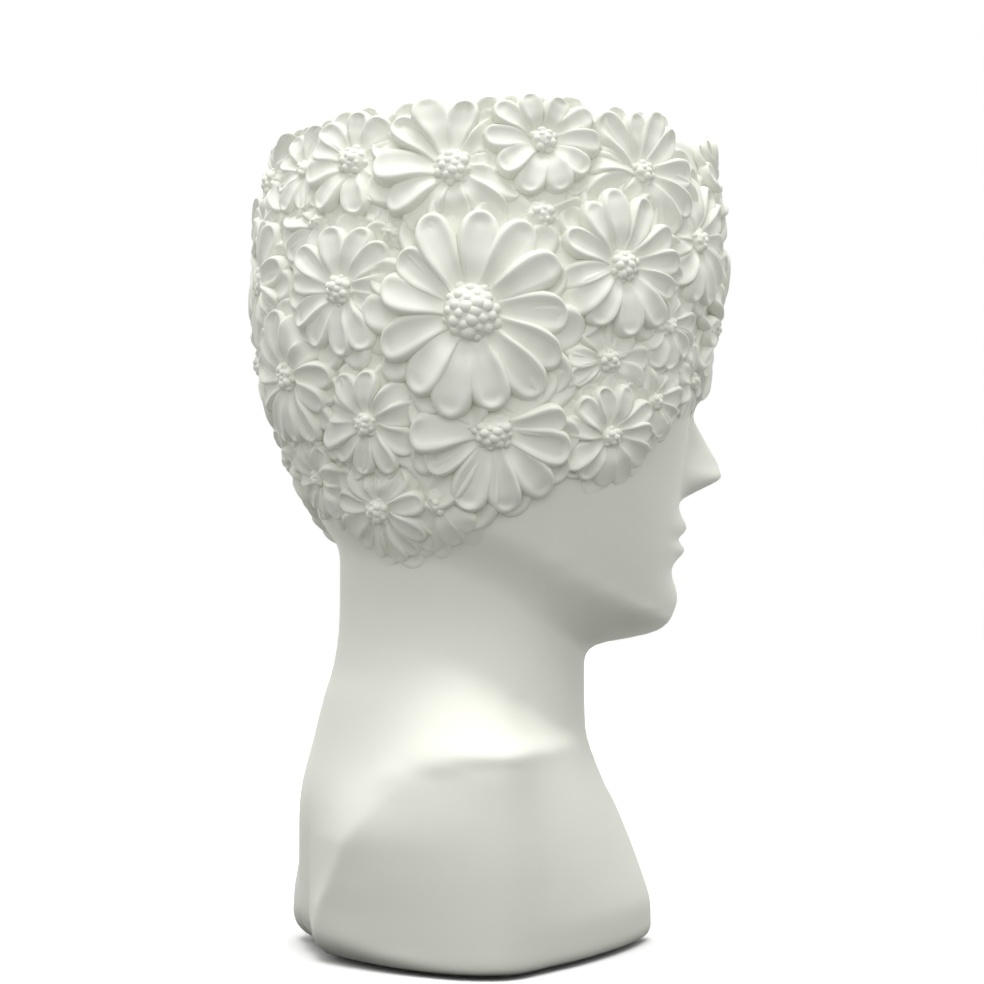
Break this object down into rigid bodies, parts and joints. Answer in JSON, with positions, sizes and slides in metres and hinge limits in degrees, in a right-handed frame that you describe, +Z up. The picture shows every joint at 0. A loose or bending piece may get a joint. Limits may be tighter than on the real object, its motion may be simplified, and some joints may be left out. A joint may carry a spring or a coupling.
{
  "type": "head planter",
  "caption": "Matte white ceramic bust with an open hollow head for a plant, dressed with applied daisies, on rubber foot pads, with a drain hole and lift-out stopper.",
  "frame": {"origin": "on the surface that the planter stands on, under the middle of its box", "axes": "+Z up from the foot pads to the rim; the face looks along -Y and the figure's right side is -X"},
  "size_m": [0.1672, 0.1811, 0.3048],
  "materials": {
    "bisque": "matte, unglazed, warm off-white",
    "stopper_rubber": "moulded black rubber, satin",
    "pad_rubber": "grey self-adhesive rubber, matte"
  },
  "bodies": {
    "planter": {"planter_shell": "bisque", "foot_pads": "pad_rubber", "daisy_back_01": "bisque", "daisy_back_02": "bisque", "daisy_back_03": "bisque", "daisy_back_04": "bisque", "daisy_back_05": "bisque", "daisy_back_06": "bisque", "daisy_back_07": "bisque", "daisy_back_08": "bisque", "daisy_front_01": "bisque", "daisy_front_02": "bisque", "daisy_front_03": "bisque", "daisy_front_04": "bisque", "daisy_front_05": "bisque", "daisy_front_06": "bisque", "daisy_front_07": "bisque", "daisy_left_01": "bisque", "daisy_left_02": "bisque", "daisy_left_03": "bisque", "daisy_left_04": "bisque", "daisy_left_05": "bisque", "daisy_left_06": "bisque", "daisy_left_07": "bisque", "daisy_left_08": "bisque", "daisy_left_09": "bisque", "daisy_left_10": "bisque", "daisy_left_11": "bisque", "daisy_left_12": "bisque", "daisy_left_13": "bisque", "daisy_left_14": "bisque", "daisy_left_15": "bisque", "daisy_right_01": "bisque", "daisy_right_02": "bisque", "daisy_right_03": "bisque", "daisy_right_04": "bisque", "daisy_right_05": "bisque", "daisy_right_06": "bisque", "daisy_right_07": "bisque", "daisy_right_08": "bisque", "daisy_right_09": "bisque", "daisy_right_10": "bisque", "daisy_right_11": "bisque", "daisy_right_12": "bisque", "daisy_right_13": "bisque", "daisy_right_14": "bisque", "daisy_right_15": "bisque", "daisy_right_16": "bisque", "daisy_right_17": "bisque", "daisy_right_18": "bisque"},
    "plug": {"drain_plug": "stopper_rubber"}
  },
  "joints": [
    {"name": "plug_lift", "type": "slide", "parent": "planter", "child": "plug", "axis": [0, 0, 1], "range_m": [0, 0.03]}
  ]
}
